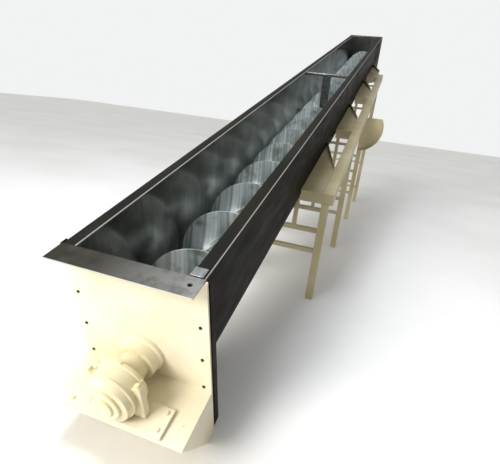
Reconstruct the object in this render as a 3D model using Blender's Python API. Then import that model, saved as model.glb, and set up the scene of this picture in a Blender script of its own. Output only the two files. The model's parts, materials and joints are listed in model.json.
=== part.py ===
# Inclined screw conveyor: open U trough, full-length screw, gear unit at the low end.
# Metres, +Z up. The floor is z = 0 and the origin is the middle of the footprint.
#
# The trough's frame has its origin on the screw's centre line at the drive end:
# x runs across, y along the screw towards the tail and z square to both. Its empty
# is turned by the incline. The stands are upright, so they are placed on a second
# empty that isn't turned, by their distance from the drive end and their height.

import math

import bmesh
import bpy
from mathutils import Vector

INCLINE = math.radians(16.0)
GAP = 0.0003                    # between two faces that touch on the real thing
SMOOTH_ANGLE = math.radians(35)

# Trough
TROUGH_W = 0.420                # inside width, and twice the bottom's radius
TROUGH_L = 6.900
TROUGH_RISE = 0.412             # top of the angles above the screw's centre line
SHEET = 0.005
SECTION_ENDS = (0.0, 2.080, 4.200, TROUGH_L)
BOTTOM_STEPS = 18               # facets of the half-round bottom
ANGLE_LEG = 0.050               # top angle, both legs
OUTSIDE = TROUGH_W / 2 + SHEET + GAP

# End plates
PLATE_T = 0.010
PLATE_HALF_W = 0.270
PLATE_DROP = 0.363              # lower edge of the drive plate below the centre line
PLATE_SPARE = 0.012             # cut off again, level with the floor
PLATE_CORNER = 0.060
CORNER_STEPS = 6
RIM_DEPTH = 0.030               # dark end frame behind the drive plate
RIM_DROP = 0.360
RIM_HALF_W = PLATE_HALF_W + 0.005
TAIL_PLATE_DROP = 0.333
TOP_BAR_HALF = 0.263
TOP_BAR_REACH = 0.090           # flat bar that lies over the drive end

# Drive shelf and gear unit
SHELF_DROP = 0.102              # shelf's upper face below the centre line
SHELF_T = 0.008
SHELF_REACH = 0.240
SHELF_HALF_W = 0.273
KNEE_FOOT = 0.055               # knee's depth at the floor
KNEE_TOE_RISE = 0.020
KNEE_LIP = 0.012                # straight part below the shelf's front
KNEE_SET_BACK = 0.010
BASE_HALF_W = 0.190
BASE_T = 0.014
BASE_Y = (-0.235, -0.126)
CASE_BACK = -0.139
CASE_SOCKET = 0.030             # depth of the bore that takes the drive journal
CASE_RIM_R = 0.099
CASE_RIM_T = 0.015
CASE_BODY_R = 0.092
FRONT_RIM_R = 0.0975
FRONT_RIM_Y = -0.214
FRONT_RIM_T = 0.007
CASE_NOSE_R = 0.088
CASE_FRONT = -0.2389
CHAMFER = 0.002
NOSE_CHAMFER = 0.004
LUG_X = (0.070, 0.118)
LUG_Y = (-0.197, -0.161)
LUG_RISE = 0.062
CAP_R = 0.063
CAP_T = 0.0078
CAP_CROWN = 0.003               # the raised ring on the end cap
CAP_RING_R = 0.046
CAP_NOSE_R = 0.038
DRIVE_REACH = 0.256             # gear unit's nose in front of the trough

# Screw
FLIGHT_R = 0.1975
FLIGHT_T = 0.005
PITCH = 0.351
FLIGHT_TOP_Y = 0.394            # where the first turn passes over the shaft
STEPS_PER_TURN = 24
WELD_STEP = 0.03                # part of a step between two lengths of flight
SHAFT_R = 0.054
SHAFT_WALL = 0.008
SHAFT_INSET = 0.020             # from the trough's ends to the tube's
FLIGHT_START_CLEAR = 0.040      # from a tube's low end to its blade
PLUG_DEPTH = 0.100
COLLAR = 0.006
JOURNAL_R = 0.028
HANGER_Y = 3.320
HANGER_CLEAR = 0.100            # shaft ends either side of the hanger bearing
RUNNING = 0.0004                # radial clearance of a shaft in its bearing
BORE = JOURNAL_R + RUNNING
PLATE_HOLE_R = JOURNAL_R + 0.006
BEARING_R = 0.084
BEARING_FLANGE_T = 0.0137
BEARING_FILLET = 0.006
BEARING_END = 0.0567
DRIVE_NECK_R = 0.076
TAIL_HUB_R = 0.060
TAIL_REACH = 0.080              # tail journal beyond the trough
HANGER_BAR_DROP = (0.006, 0.030)
HANGER_BAR_HALF = 0.025
HANGER_SIDE_CLEAR = 0.002
HANGER_STRAP_HALF_W = 0.040
HANGER_STRAP_HALF_T = 0.006
HANGER_RING_R = 0.050
HANGER_RING_HALF = 0.040
HANGER_CROWN_HALF = 0.030
HANGER_BLOCK_RISE = 0.060

# Rails and brackets, in the trough's frame
RAIL_IN = 0.361
RAIL_OUT = 0.437
RAIL_TOP = 0.002
RAIL_H = 0.080
RAIL_LOW = RAIL_TOP - RAIL_H
RAIL_END = 5.860
BRACKET_T = 0.006
BRACKET_RAIL_L = 0.420          # bracket's length along the rail
BRACKET_WALL_L = 0.930          # and along the trough

# Stands, by their place along the rail and the heights of their bars above the floor
STAND_Y = (1.550, 2.920, 4.290, 5.660)
BAR_HEIGHTS = ((0.355, 0.500), (0.355, 0.500, 0.635), (0.355, 0.500, 0.635, 0.830),
               (0.245, 0.635, 1.280))
POST_X = (0.196, 0.245, 0.245, 0.245)
LEG_X = 0.386
LEG = 0.050
BAR = 0.030
POST = 0.028
TIE = 0.024
TIE_DROP = 0.055                # tie below the rail
STUD_X = 0.303
STUD = 0.020

# Guard on the front of the third right-hand leg
GUARD_X = 0.345                 # middle of its round edge
GUARD_HEIGHT = 1.178
GUARD_R = 0.277
GUARD_TOP = 1.305
GUARD_T = 0.006
GUARD_DEPTH = 0.070
GUARD_STEPS = 24
SLOT_LOW = (0.424, 1.080)
SLOT_HIGH = (0.438, 1.115)

# Outlet under the tail end, square to the trough
SPOUT_Y = (6.280, 6.640)
SPOUT_HALF_X = 0.180
SPOUT_FLANGE = 0.040
SPOUT_DROP = 0.398

# The drive plate's lower edge stands on the floor, and the footprint's middle is
# the origin.
DRIVE_HEIGHT = PLATE_DROP * math.cos(INCLINE)
FRONT_Y = -DRIVE_REACH * math.cos(INCLINE) - CAP_NOSE_R * math.sin(INCLINE)
BACK_Y = (TROUGH_L + PLATE_T) * math.cos(INCLINE) + TAIL_PLATE_DROP * math.sin(INCLINE)
SHIFT_X = -(GUARD_X + GUARD_R - RAIL_OUT) / 2
SHIFT_Y = -(FRONT_Y + BACK_Y) / 2


def plan_y(y, z):
    """Level distance from the drive end of a point of the trough's frame."""
    return y * math.cos(INCLINE) - z * math.sin(INCLINE)


def height(y, z):
    """Height above the floor of a point of the trough's frame."""
    return DRIVE_HEIGHT + y * math.sin(INCLINE) + z * math.cos(INCLINE)


def clear_scene():
    """Remove whatever the file holds."""
    for item in list(bpy.data.objects):
        bpy.data.objects.remove(item, do_unlink=True)


def make_material(name, colour, roughness, metallic):
    """A Principled material in one colour."""
    material = bpy.data.materials.new(name)
    material.use_nodes = True
    shader = material.node_tree.nodes["Principled BSDF"]
    shader.inputs["Base Color"].default_value = (*colour, 1.0)
    shader.inputs["Roughness"].default_value = roughness
    shader.inputs["Metallic"].default_value = metallic
    return material


def make_empty(name, location, turn=0.0, parent=None):
    """A plain axis that carries pieces, turned about X."""
    empty = bpy.data.objects.new(name, None)
    empty.location = location
    empty.rotation_euler = (turn, 0.0, 0.0)
    empty.parent = parent
    bpy.context.collection.objects.link(empty)
    return empty


def add_object(name, mesh_data, material, parent, location=(0, 0, 0), smooth=False):
    """Turn a bmesh into an object with its faces outwards."""
    bmesh.ops.remove_doubles(mesh_data, verts=mesh_data.verts, dist=1e-6)
    bmesh.ops.recalc_face_normals(mesh_data, faces=mesh_data.faces)
    mesh = bpy.data.meshes.new(name)
    mesh_data.to_mesh(mesh)
    mesh_data.free()
    if smooth:
        mesh.shade_smooth()
        mesh.set_sharp_from_angle(angle=SMOOTH_ANGLE)
    if material:
        mesh.materials.append(material)
    item = bpy.data.objects.new(name, mesh)
    item.parent = parent
    item.location = location
    bpy.context.collection.objects.link(item)
    return item


def add_box(name, low, high, material, parent):
    """A box between two corners, with its origin in its middle."""
    middle = (Vector(low) + Vector(high)) / 2
    size = Vector(high) - Vector(low)
    mesh_data = bmesh.new()
    bmesh.ops.create_cube(mesh_data, size=1.0)
    bmesh.ops.scale(mesh_data, vec=size, verts=mesh_data.verts)
    return add_object(name, mesh_data, material, parent, middle)


def extrude_outline(outline, along, start, end):
    """A bmesh prism: the outline's pairs fill the two axes other than along."""
    others = [axis for axis in (0, 1, 2) if axis != along]
    mesh_data = bmesh.new()
    ring = []
    for first, second in outline:
        corner = [0.0, 0.0, 0.0]
        corner[others[0]], corner[others[1]], corner[along] = first, second, start
        ring.append(mesh_data.verts.new(corner))
    face = mesh_data.faces.new(ring)
    pulled = bmesh.ops.extrude_face_region(mesh_data, geom=[face])
    step = [0.0, 0.0, 0.0]
    step[along] = end - start
    moved = [part for part in pulled["geom"] if isinstance(part, bmesh.types.BMVert)]
    bmesh.ops.translate(mesh_data, vec=step, verts=moved)
    return mesh_data


def add_prism(name, outline, along, start, end, material, parent, smooth=False):
    """An extruded outline as an object."""
    mesh_data = extrude_outline(outline, along, start, end)
    return add_object(name, mesh_data, material, parent, smooth=smooth)


def add_turned(name, profile, material, parent, location=(0, 0, 0), sides=32):
    """Spin (radius, y) pairs about the Y axis through location."""
    mesh_data = bmesh.new()
    verts = [mesh_data.verts.new((radius, y, 0.0)) for radius, y in profile]
    edges = [mesh_data.edges.new(pair) for pair in zip(verts, verts[1:])]
    if profile[0][0] > 0:
        edges.append(mesh_data.edges.new((verts[-1], verts[0])))
    bmesh.ops.spin(mesh_data, geom=verts + edges, cent=(0, 0, 0), axis=(0, 1, 0),
                   angle=math.tau, steps=sides, use_merge=True)
    return add_object(name, mesh_data, material, parent, location, smooth=True)


def cut(target, cutter, operation="DIFFERENCE"):
    """Take a cutter from a piece, or weld it on."""
    boolean = target.modifiers.new(cutter.name, "BOOLEAN")
    boolean.object = cutter
    boolean.operation = operation
    cutter.hide_render = True
    cutter.display_type = "WIRE"


def arc(centre, radius, start, end, steps):
    """Points of an arc in a plane, from one angle in degrees to another."""
    points = []
    for step in range(steps + 1):
        angle = math.radians(start + (end - start) * step / steps)
        points.append((centre[0] + radius * math.cos(angle), centre[1] + radius * math.sin(angle)))
    return points


def half_round(radius):
    """The trough bottom's arc from the right wall round to the left wall."""
    return arc((0.0, 0.0), radius, 0, -180, BOTTOM_STEPS)


def both_sides():
    """The names and signs of the right-hand and left-hand pieces."""
    return (("right", 1), ("left", -1))


def trough(steel, frame):
    """Three lengths of U-shaped sheet with an outlet in the last."""
    inner = TROUGH_W / 2
    outer = inner + SHEET
    top = TROUGH_RISE - SHEET - GAP
    outside = [(outer, top), *half_round(outer), (-outer, top)]
    inside = [(inner, top), *half_round(inner), (-inner, top)]
    for number, (start, end) in enumerate(zip(SECTION_ENDS, SECTION_ENDS[1:]), 1):
        last = add_prism(f"trough_section_{number}", outside + inside[::-1], 1, start + GAP, end - GAP,
                         steel, frame, smooth=True)
    mouth = SPOUT_HALF_X - SHEET
    outlet = add_box("outlet_cut", (-mouth, SPOUT_Y[0] + SHEET, -TROUGH_W),
                     (mouth, SPOUT_Y[1] - SHEET, -TROUGH_W / 4), None, frame)
    cut(last, outlet)


def top_angles(steel, frame):
    """The angle along each upper edge: one leg out, one leg down the wall."""
    inner = TROUGH_W / 2
    outer = inner + ANGLE_LEG
    low = TROUGH_RISE - ANGLE_LEG
    under = TROUGH_RISE - SHEET
    outline = [(inner, TROUGH_RISE), (outer, TROUGH_RISE), (outer, under), (OUTSIDE + SHEET, under),
               (OUTSIDE + SHEET, low), (OUTSIDE, low), (OUTSIDE, under), (inner, under)]
    for side, sign in both_sides():
        add_prism(f"top_angle_{side}", [(sign * x, z) for x, z in outline], 1, GAP, TROUGH_L - GAP,
                  steel, frame)


def plate_outline(half_width, drop, top, corner):
    """A plate with its two lower corners rounded."""
    round_corner = arc((half_width - corner, corner - drop), corner, 0, -90, CORNER_STEPS)
    right = [(half_width, top), *round_corner]
    return right + [(-x, z) for x, z in right[::-1]]


def shaft_hole(plate, y, frame):
    """Open an end plate for the screw's journal."""
    around = 2 * PLATE_T
    hole = add_turned(f"{plate.name}_hole", [(0, -around), (PLATE_HOLE_R, -around),
                                             (PLATE_HOLE_R, around), (0, around)],
                      None, frame, (0, y, 0))
    cut(plate, hole)


def end_frame(steel, frame):
    """A dark plate round the trough's mouth with a rim along its edge."""
    top = TROUGH_RISE - SHEET - GAP
    outside = plate_outline(RIM_HALF_W, RIM_DROP, top, PLATE_CORNER)
    mouth = [(OUTSIDE, top), *half_round(OUTSIDE), (-OUTSIDE, top)]
    rim = add_prism("near_end_frame", outside + mouth[::-1], 1, 2 * GAP, RIM_DEPTH, steel, frame)
    collar = OUTSIDE + SHEET
    pocket = plate_outline(RIM_HALF_W - SHEET, RIM_DROP - SHEET, TROUGH_RISE, PLATE_CORNER - SHEET)
    around = [(collar, TROUGH_RISE), *half_round(collar), (-collar, TROUGH_RISE)]
    cut(rim, add_prism("end_frame_pocket", pocket + around[::-1], 1, SHEET, 2 * RIM_DEPTH, None, frame))
    low = TROUGH_RISE - ANGLE_LEG - GAP
    for side, sign in both_sides():
        edges = sorted((sign * OUTSIDE, sign * (collar + GAP)))
        cut(rim, add_box(f"angle_notch_{side}", (edges[0], -RIM_DEPTH, low),
                         (edges[1], 2 * RIM_DEPTH, 2 * TROUGH_RISE), None, frame))


def end_plates(cream, steel, frame, floor):
    """The cream drive plate, which stands on the floor, and the tail plate."""
    top = TROUGH_RISE - SHEET - GAP
    drive = add_prism("drive_end_plate",
                      plate_outline(PLATE_HALF_W, PLATE_DROP + PLATE_SPARE, top, PLATE_CORNER),
                      1, -PLATE_T, -GAP, cream, frame)
    shaft_hole(drive, 0.0, frame)
    cut(drive, floor)
    tail = add_prism("tail_end_plate", plate_outline(PLATE_HALF_W, TAIL_PLATE_DROP, top, PLATE_CORNER),
                     1, TROUGH_L + GAP, TROUGH_L + PLATE_T, steel, frame)
    shaft_hole(tail, TROUGH_L, frame)


def top_bars(steel, frame):
    """The flat bars that lie over the two ends."""
    low = TROUGH_RISE - SHEET
    add_box("near_top_bar", (-TOP_BAR_HALF, -TOP_BAR_REACH, low), (TOP_BAR_HALF, -GAP, TROUGH_RISE),
            steel, frame)
    add_box("tail_top_bar", (-TOP_BAR_HALF, TROUGH_L, low),
            (TOP_BAR_HALF, TROUGH_L + ANGLE_LEG, TROUGH_RISE), steel, frame)


def drive_shelf(cream, frame, floor):
    """The shelf on the drive plate and its two side knees down to the floor."""
    back = -PLATE_T - GAP
    front = -SHELF_REACH
    add_box("drive_shelf", (-SHELF_HALF_W, front, -SHELF_DROP - SHELF_T),
            (SHELF_HALF_W, back, -SHELF_DROP), cream, frame)
    top = -SHELF_DROP - SHELF_T - GAP
    knee_front = front + KNEE_SET_BACK
    heel = back - KNEE_FOOT
    low = -PLATE_DROP - PLATE_SPARE
    knee = [(back, top), (back, low), (heel, low), (heel, -PLATE_DROP + KNEE_TOE_RISE),
            (knee_front, top - KNEE_LIP), (knee_front, top)]
    for side, sign in both_sides():
        piece = add_prism(f"shelf_knee_{side}", knee, 0, sign * (SHELF_HALF_W - SHELF_T),
                          sign * SHELF_HALF_W, cream, frame)
        cut(piece, floor)


def gear_unit(cream, frame):
    """A round cast gear unit, in line with the screw, on its base plate."""
    seat = -SHELF_DROP + GAP
    base_top = seat + BASE_T
    add_box("gear_base_plate", (-BASE_HALF_W, BASE_Y[0], seat), (BASE_HALF_W, BASE_Y[1], base_top),
            cream, frame)
    socket = CASE_BACK - CASE_SOCKET
    rim_end = CASE_BACK - CASE_RIM_T
    front_rim_back = FRONT_RIM_Y + FRONT_RIM_T
    profile = [(BORE, socket), (BORE, CASE_BACK), (CASE_RIM_R, CASE_BACK), (CASE_RIM_R, rim_end),
               (CASE_BODY_R, rim_end - CHAMFER), (CASE_BODY_R, front_rim_back + CHAMFER),
               (FRONT_RIM_R, front_rim_back), (FRONT_RIM_R, FRONT_RIM_Y),
               (CASE_NOSE_R, FRONT_RIM_Y - CHAMFER), (CASE_NOSE_R, CASE_FRONT + NOSE_CHAMFER),
               (CASE_NOSE_R - NOSE_CHAMFER, CASE_FRONT), (0.0, CASE_FRONT), (0.0, socket)]
    case = add_turned("gear_case", profile, cream, frame)
    foot = base_top + GAP
    for side, sign in both_sides():
        edges = sorted((sign * LUG_X[0], sign * LUG_X[1]))
        lug = add_box(f"gear_lug_{side}", (edges[0], LUG_Y[0], foot), (edges[1], LUG_Y[1], LUG_RISE),
                      None, frame)
        cut(case, lug, "UNION")
    wide = 3 * CASE_RIM_R
    cut(case, add_box("gear_case_flat", (-wide, -wide, -wide), (wide, 0.0, foot), None, frame))
    back = CASE_FRONT - GAP
    edge = back - CAP_T
    face = edge - CAP_CROWN
    add_turned("gear_end_cap", [(0.0, back), (CAP_R, back), (CAP_R, edge), (CAP_R - NOSE_CHAMFER, face),
                                (CAP_RING_R, face), (CAP_RING_R - CHAMFER, edge),
                                (CAP_NOSE_R + CHAMFER, edge), (CAP_NOSE_R, -DRIVE_REACH),
                                (0.0, -DRIVE_REACH)], cream, frame)


def bearings(cream, steel, frame):
    """The flanged bearing housings outside the two end plates."""
    housings = (("drive_bearing", -PLATE_T - GAP, -1, DRIVE_NECK_R, cream),
                ("tail_bearing", TROUGH_L + PLATE_T + GAP, 1, TAIL_HUB_R, steel))
    for name, seat, outwards, neck, finish in housings:
        flange = seat + outwards * BEARING_FLANGE_T
        fillet = flange + outwards * BEARING_FILLET
        end = seat + outwards * BEARING_END
        add_turned(name, [(BORE, seat), (BEARING_R, seat), (BEARING_R, flange), (neck, fillet),
                          (neck, end), (BORE, end)], finish, frame)


def outlet_spout(steel, frame):
    """A short square spout under the outlet with a flange round its mouth."""
    low, high = SPOUT_Y
    top = -TROUGH_W / 7
    edge = SPOUT_HALF_X + SPOUT_FLANGE
    mouth = SPOUT_HALF_X - SHEET
    spout = add_box("outlet_spout", (-SPOUT_HALF_X, low, -SPOUT_DROP), (SPOUT_HALF_X, high, top),
                    steel, frame)
    cut(spout, add_box("spout_flange", (-edge, low - SPOUT_FLANGE, -SPOUT_DROP),
                       (edge, high + SPOUT_FLANGE, -SPOUT_DROP + SHEET), None, frame), "UNION")
    cut(spout, add_box("spout_inside", (-mouth, low + SHEET, -2 * SPOUT_DROP),
                       (mouth, high - SHEET, TROUGH_RISE), None, frame))
    belly = [*half_round(OUTSIDE), (-OUTSIDE, TROUGH_RISE), (OUTSIDE, TROUGH_RISE)]
    cut(spout, add_prism("spout_saddle", belly, 1, low - TROUGH_W, high + TROUGH_W, None, frame))


def helix_flight(name, steps, steel, axis):
    """A helical blade of constant pitch, as close to the tube as a weld."""
    inner = SHAFT_R + GAP
    mesh_data = bmesh.new()
    rings = []
    for step in steps:
        angle = math.tau * step / STEPS_PER_TURN
        middle = FLIGHT_TOP_Y + step * PITCH / STEPS_PER_TURN
        ring = []
        for radius, side in ((inner, -1), (FLIGHT_R, -1), (FLIGHT_R, 1), (inner, 1)):
            ring.append(mesh_data.verts.new((radius * math.sin(angle), middle + side * FLIGHT_T / 2,
                                             radius * math.cos(angle))))
        rings.append(ring)
    for ring, following in zip(rings, rings[1:]):
        for corner in range(4):
            after = (corner + 1) % 4
            mesh_data.faces.new((ring[corner], ring[after], following[after], following[corner]))
    mesh_data.faces.new(rings[0])
    mesh_data.faces.new(rings[-1][::-1])
    add_object(name, mesh_data, steel, axis, smooth=True)


def screw_length(number, start, end, steel, axis):
    """A tube with its blade in two sections, which meet at a weld."""
    inside = SHAFT_R - SHAFT_WALL
    add_turned(f"screw_tube_{number}", [(inside, start), (SHAFT_R, start), (SHAFT_R, end), (inside, end)],
               steel, axis, sides=STEPS_PER_TURN)
    step_y = PITCH / STEPS_PER_TURN
    first = math.ceil((start + FLIGHT_START_CLEAR - FLIGHT_TOP_Y) / step_y)
    last = math.floor((end - SHAFT_INSET - FLIGHT_TOP_Y) / step_y)
    middle = (first + last) // 2
    helix_flight(f"screw_flight_{2 * number - 1}", range(first, middle + 1), steel, axis)
    helix_flight(f"screw_flight_{2 * number}", [middle + WELD_STEP, *range(middle + 1, last + 1)],
                 steel, axis)


def screw(steel, axis):
    """Two lengths of screw, joined through the hanger bearing, and their shafts."""
    low, high = HANGER_Y - HANGER_CLEAR, HANGER_Y + HANGER_CLEAR
    start, end = SHAFT_INSET, TROUGH_L - SHAFT_INSET
    screw_length(1, start, low, steel, axis)
    screw_length(2, high, end, steel, axis)
    plug = SHAFT_R - SHAFT_WALL - GAP
    socket = CASE_BACK - 0.026
    add_turned("drive_journal", [(0, socket), (JOURNAL_R, socket), (JOURNAL_R, start - COLLAR),
                                 (SHAFT_R, start - COLLAR), (SHAFT_R, start - GAP), (plug, start - GAP),
                                 (plug, start + PLUG_DEPTH), (0, start + PLUG_DEPTH)],
               steel, axis, sides=STEPS_PER_TURN)
    reach = TROUGH_L + TAIL_REACH
    add_turned("tail_journal", [(0, end - PLUG_DEPTH), (plug, end - PLUG_DEPTH), (plug, end + GAP),
                                (SHAFT_R, end + GAP), (SHAFT_R, end + COLLAR), (JOURNAL_R, end + COLLAR),
                                (JOURNAL_R, reach), (0, reach)],
               steel, axis, sides=STEPS_PER_TURN)
    near_half = [(0, low - PLUG_DEPTH), (plug, low - PLUG_DEPTH), (plug, low + GAP), (SHAFT_R, low + GAP),
                 (SHAFT_R, low + COLLAR), (JOURNAL_R, low + COLLAR)]
    far_half = [(radius, 2 * HANGER_Y - y) for radius, y in near_half[::-1]]
    add_turned("coupling_shaft", near_half + far_half, steel, axis, sides=STEPS_PER_TURN)


def hanger(steel, frame):
    """The bearing that hangs in the trough between the two screw lengths."""
    half_w = TROUGH_W / 2 - HANGER_SIDE_CLEAR
    bar_top, bar_low = (TROUGH_RISE - drop for drop in HANGER_BAR_DROP)
    add_box("hanger_bar", (-half_w, HANGER_Y - HANGER_BAR_HALF, bar_low),
            (half_w, HANGER_Y + HANGER_BAR_HALF, bar_top), steel, frame)
    add_box("hanger_strap",
            (-HANGER_STRAP_HALF_W, HANGER_Y - HANGER_STRAP_HALF_T, HANGER_BLOCK_RISE + GAP),
            (HANGER_STRAP_HALF_W, HANGER_Y + HANGER_STRAP_HALF_T, bar_low - GAP), steel, frame)
    ring = [(BORE, -HANGER_RING_HALF), (HANGER_RING_R, -HANGER_RING_HALF),
            (HANGER_RING_R, HANGER_RING_HALF), (BORE, HANGER_RING_HALF)]
    block = add_turned("hanger_bearing", ring, steel, frame, (0, HANGER_Y, 0))
    crown = add_box("hanger_crown",
                    (-HANGER_CROWN_HALF, HANGER_Y - HANGER_CROWN_HALF, HANGER_RING_HALF),
                    (HANGER_CROWN_HALF, HANGER_Y + HANGER_CROWN_HALF, HANGER_BLOCK_RISE), None, frame)
    cut(block, crown, "UNION")


def bracket(name, sign, front, cream, frame):
    """A sheet from rail to trough: square in front, raking behind, with a lip."""
    rail = RAIL_IN - GAP
    outline = [(sign * OUTSIDE, front), (sign * rail, front), (sign * rail, front + BRACKET_RAIL_L),
               (sign * OUTSIDE, front + BRACKET_WALL_L)]
    sheet = add_prism(name, outline, 2, RAIL_TOP - BRACKET_T, RAIL_TOP, cream, frame)
    lip_x = sorted((sign * (OUTSIDE + 0.002), sign * rail))
    lip = add_box(f"{name}_lip", (lip_x[0], front, RAIL_LOW), (lip_x[1], front + BRACKET_T, RAIL_TOP),
                  None, frame)
    cut(sheet, lip, "UNION")


def rails(cream, frame):
    """A rail along each side, square to the trough, and its brackets."""
    for side, sign in both_sides():
        edges = sorted((sign * RAIL_IN, sign * RAIL_OUT))
        add_box(f"rail_{side}", (edges[0], STAND_Y[0] - LEG / 2, RAIL_LOW), (edges[1], RAIL_END, RAIL_TOP),
                cream, frame)
        for number, y in enumerate(STAND_Y, 1):
            bracket(f"bracket_{number}_{side}", sign, y - LEG / 2, cream, frame)


def upright(name, x, size, y, low, high, material, plan):
    """A square post at both its sides' middle, between two heights."""
    half = size / 2
    return add_box(name, (x - half, y - half, low), (x + half, y + half, high), material, plan)


def crossbar(name, size, y, level, plan):
    """A square bar from one leg's middle to the other's."""
    half = size / 2
    return add_box(name, (-LEG_X, y - half, level - half), (LEG_X, y + half, level + half), None, plan)


def stand(number, y, cream, plan, roof):
    """Two upright legs with bars, a tie under the rails and a post at each side."""
    name = f"stand_{number}"
    middle = plan_y(y, RAIL_LOW)
    rail_height = height(y, RAIL_LOW)
    over = rail_height + 2 * RAIL_H
    tie_level = rail_height - TIE_DROP
    levels = BAR_HEIGHTS[number - 1]
    body = upright(name, LEG_X, LEG, middle, 0.0, over, cream, plan)
    members = [upright(f"{name}_other_leg", -LEG_X, LEG, middle, 0.0, over, None, plan),
               crossbar(f"{name}_tie", TIE, middle, tie_level, plan)]
    for place, level in enumerate(levels, 1):
        members.append(crossbar(f"{name}_bar_{place}", BAR, middle, level, plan))
    for side, sign in both_sides():
        members.append(upright(f"{name}_post_{side}", sign * POST_X[number - 1], POST, middle,
                               levels[-1], over, None, plan))
        if number == 1:
            members.append(upright(f"{name}_stud_{side}", sign * STUD_X, STUD, middle, tie_level, over,
                                   None, plan))
    for member in members:
        cut(body, member, "UNION")
    cut(body, roof)


def stand_roof(frame):
    """All that lies over the stands: trough, brackets and rails, with the gap below them."""
    under_bracket = RAIL_TOP - BRACKET_T - GAP
    under_rail = RAIL_LOW - GAP
    step_x = (RAIL_IN + STUD_X + STUD / 2) / 2
    wide = 2 * RAIL_OUT
    right = [(wide, TROUGH_RISE), (wide, under_rail), (step_x, under_rail), (step_x, under_bracket),
             (OUTSIDE, under_bracket)]
    outline = right + half_round(OUTSIDE)[1:-1] + [(-x, z) for x, z in right[::-1]]
    return add_prism("stand_roof", outline, 1, 0.5, TROUGH_L, None, frame)


def guard(cream, plan):
    """A D-shaped plate on the third right-hand leg with a rim round its curved edge."""
    face = plan_y(STAND_Y[2], RAIL_LOW) - LEG / 2 - GAP
    centre = (GUARD_X, GUARD_HEIGHT)
    top_angle = math.degrees(math.asin((GUARD_TOP - GUARD_HEIGHT) / GUARD_R))
    low_angle = -math.degrees(math.acos((RAIL_IN - GUARD_X) / GUARD_R))
    edge = arc(centre, GUARD_R, top_angle, low_angle, GUARD_STEPS)
    plate = add_prism("guard_plate", [(RAIL_IN, GUARD_TOP), *edge], 1, face - GUARD_T, face, cream, plan)
    cut(plate, add_box("guard_slot", (SLOT_LOW[0], face - LEG, SLOT_LOW[1]),
                       (SLOT_HIGH[0], face + LEG / 2, SLOT_HIGH[1]), None, plan))
    inner = arc(centre, GUARD_R - GUARD_T, top_angle, low_angle, GUARD_STEPS)
    rim_back = face - GUARD_T - GAP
    add_prism("round_guard", edge + inner[::-1], 1, rim_back - GUARD_DEPTH, rim_back, cream, plan)


def main():
    clear_scene()
    cream = make_material("cream_paint", (0.72, 0.66, 0.46), 0.45, 0.0)
    dark = make_material("dark_mill_steel", (0.055, 0.052, 0.050), 0.42, 0.8)
    bright = make_material("bright_steel", (0.45, 0.47, 0.47), 0.28, 1.0)
    plan = make_empty("floor_plan", (SHIFT_X, SHIFT_Y, 0.0))
    frame = make_empty("trough_frame", (0.0, 0.0, DRIVE_HEIGHT), INCLINE, plan)
    axis = make_empty("screw_axis", (0.0, 0.0, 0.0), 0.0, frame)
    floor = add_box("under_floor", (-1.0, -1.0, -1.0), (1.0, 1.0, 0.0), None, plan)
    trough(dark, frame)
    top_angles(dark, frame)
    end_frame(dark, frame)
    end_plates(cream, dark, frame, floor)
    top_bars(dark, frame)
    drive_shelf(cream, frame, floor)
    gear_unit(cream, frame)
    bearings(cream, dark, frame)
    outlet_spout(dark, frame)
    screw(bright, axis)
    hanger(bright, frame)
    rails(cream, frame)
    roof = stand_roof(frame)
    for number, y in enumerate(STAND_Y, 1):
        stand(number, y, cream, plan, roof)
    guard(cream, plan)


main()
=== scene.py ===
# %% [markdown]
# # An inclined screw conveyor
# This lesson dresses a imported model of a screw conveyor: an open trough of dark sheet
# steel, a bright helical screw in it, a cream gear unit at the low end and a cream frame
# below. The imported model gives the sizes, so each piece here takes its place from it.

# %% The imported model
import json
import math

import bmesh
import bpy
from mathutils import Matrix, Vector


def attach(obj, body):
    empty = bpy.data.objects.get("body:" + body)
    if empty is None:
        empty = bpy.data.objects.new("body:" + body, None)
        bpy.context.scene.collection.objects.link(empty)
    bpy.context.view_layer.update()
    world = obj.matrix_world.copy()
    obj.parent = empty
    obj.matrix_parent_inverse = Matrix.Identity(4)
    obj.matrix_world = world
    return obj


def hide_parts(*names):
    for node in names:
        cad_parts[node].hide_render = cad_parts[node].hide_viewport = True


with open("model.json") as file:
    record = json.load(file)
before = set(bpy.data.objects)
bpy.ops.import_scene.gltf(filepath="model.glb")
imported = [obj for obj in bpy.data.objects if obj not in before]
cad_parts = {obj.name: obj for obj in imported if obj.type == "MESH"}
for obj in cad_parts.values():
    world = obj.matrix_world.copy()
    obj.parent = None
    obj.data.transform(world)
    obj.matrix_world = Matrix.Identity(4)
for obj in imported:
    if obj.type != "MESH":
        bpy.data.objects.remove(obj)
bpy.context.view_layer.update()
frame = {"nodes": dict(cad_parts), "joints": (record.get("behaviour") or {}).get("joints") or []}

# %% [markdown]
# The trough climbs, so most pieces are easier to think of in a frame that climbs with it:
# x across, y along the screw from the drive end, z square to both. The screw's hinge in
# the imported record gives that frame. The stands are upright and use a level frame.

# %% The trough's frame and the level frame
hinge = frame["joints"][0]
DRIVE_END = Vector(hinge["pos_m"])
INCLINE = math.asin(hinge["axis"][2])
TROUGH = Matrix.Translation(DRIVE_END) @ Matrix.Rotation(INCLINE, 4, "X")
LEVEL = Matrix.Translation((DRIVE_END.x, DRIVE_END.y, 0.0))


def node_box(name, place=TROUGH):
    """Lowest and highest corner of a CAD node in the frame it was made in."""
    back = place.inverted()
    corners = [back @ vert.co for vert in frame["nodes"][name].data.vertices]
    return Vector(map(min, zip(*corners))), Vector(map(max, zip(*corners)))


print("incline", round(math.degrees(INCLINE), 2), "degrees")

# %% [markdown]
# Colours are easiest to write as the sRGB values of a colour picker, while shaders work in
# linear light, so one function turns one into the other. A second one adds a node: what
# is a socket gets linked, and anything else is set as a value.

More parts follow.
